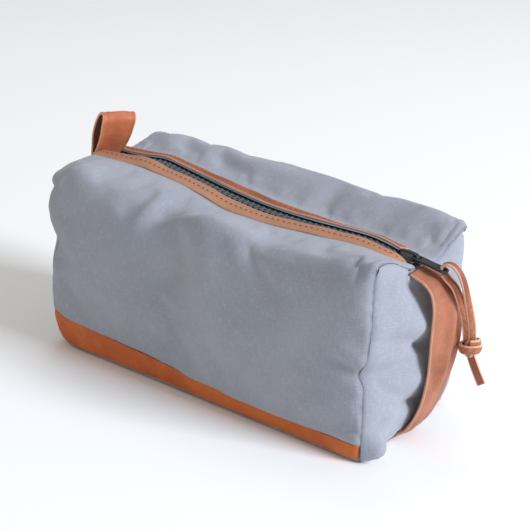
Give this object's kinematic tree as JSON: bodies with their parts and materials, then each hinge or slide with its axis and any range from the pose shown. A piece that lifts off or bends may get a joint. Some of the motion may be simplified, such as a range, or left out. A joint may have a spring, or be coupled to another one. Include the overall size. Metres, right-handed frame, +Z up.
{
  "type": "shaving kit bag",
  "caption": "Box-shaped canvas wash bag with a turned-up leather base, a zip between leather trims, a hang loop and an end strap.",
  "frame": {"origin": "centre of the leather base's underside, where the bag stands on a surface", "axes": "+X along the bag's length towards the carry strap, +Y towards the back, +Z up"},
  "size_m": [0.2791, 0.105, 0.1528],
  "materials": {
    "canvas": "tight-woven blue-grey cotton canvas with a dry hand",
    "trim_leather": "tan vegetable-tanned leather with a satin grain",
    "base_leather": "orange-brown leather with a satin grain",
    "lace_leather": "cut leather lace, grain outside and suede inside",
    "binding": "folded cotton twill tape",
    "zip_tape": "black woven polyester tape",
    "zip_teeth": "dark moulded plastic",
    "slider_metal": "matte black enamel",
    "pull_metal": "dark grey enamel, satin"
  },
  "bodies": {
    "bag": {"front_canvas": "canvas", "back_canvas": "canvas", "loop_end_canvas": "canvas", "strap_end_canvas": "canvas", "leather_base": "base_leather", "loop_end_binding": "binding", "strap_end_binding": "binding", "carry_strap": "trim_leather", "zip_tape_ends": "zip_tape", "zip_teeth_ends": "zip_teeth", "zip_bottom_stop": "zip_teeth", "zip_top_stop_front": "zip_teeth", "zip_top_stop_back": "zip_teeth"},
    "front_flap": {"front_top_canvas": "canvas", "front_zip_trim": "trim_leather", "front_zip_tape": "zip_tape", "front_zip_teeth": "zip_teeth"},
    "back_flap": {"back_top_canvas": "canvas", "back_zip_trim": "trim_leather", "back_zip_tape": "zip_tape", "back_zip_teeth": "zip_teeth"},
    "slider": {"slider_body": "slider_metal"},
    "pull": {"zip_pull": "pull_metal"},
    "lace": {"pull_lace": "lace_leather", "lace_knot": "lace_leather"},
    "loop": {"hang_loop": "trim_leather"}
  },
  "joints": [
    {"name": "front_mouth", "type": "hinge", "parent": "bag", "child": "front_flap", "pos_m": [0, -0.0356, 0.1135], "axis": [0.9985, 0, -0.0541], "range_deg": [0, 80]},
    {"name": "back_mouth", "type": "hinge", "parent": "bag", "child": "back_flap", "pos_m": [0, 0.0356, 0.1135], "axis": [-0.9985, 0, 0.0541], "range_deg": [0, 80]},
    {"name": "slider_slide", "type": "slide", "parent": "bag", "child": "slider", "axis": [-0.9985, 0, 0.0541], "range_m": [0, 0.205], "deforming": ["pull_lace", "lace_knot"]},
    {"name": "pull_flip", "type": "hinge", "parent": "slider", "child": "pull", "pos_m": [0.1159, 0, 0.11038], "axis": [0, -1, 0], "range_deg": [0, 130]},
    {"name": "lace_swing", "type": "hinge", "parent": "pull", "child": "lace", "pos_m": [0.13431, 0, 0.10776], "axis": [0, -1, 0], "range_deg": [0, 84]},
    {"name": "loop_fold", "type": "hinge", "parent": "bag", "child": "loop", "pos_m": [-0.116, 0, 0.1224], "axis": [0, -1, 0], "range_deg": [-40, 70]}
  ],
  "couplings": [
    {"joint": "lace_swing", "follows": "slider_slide", "rad_per_m": 7.1516}
  ]
}
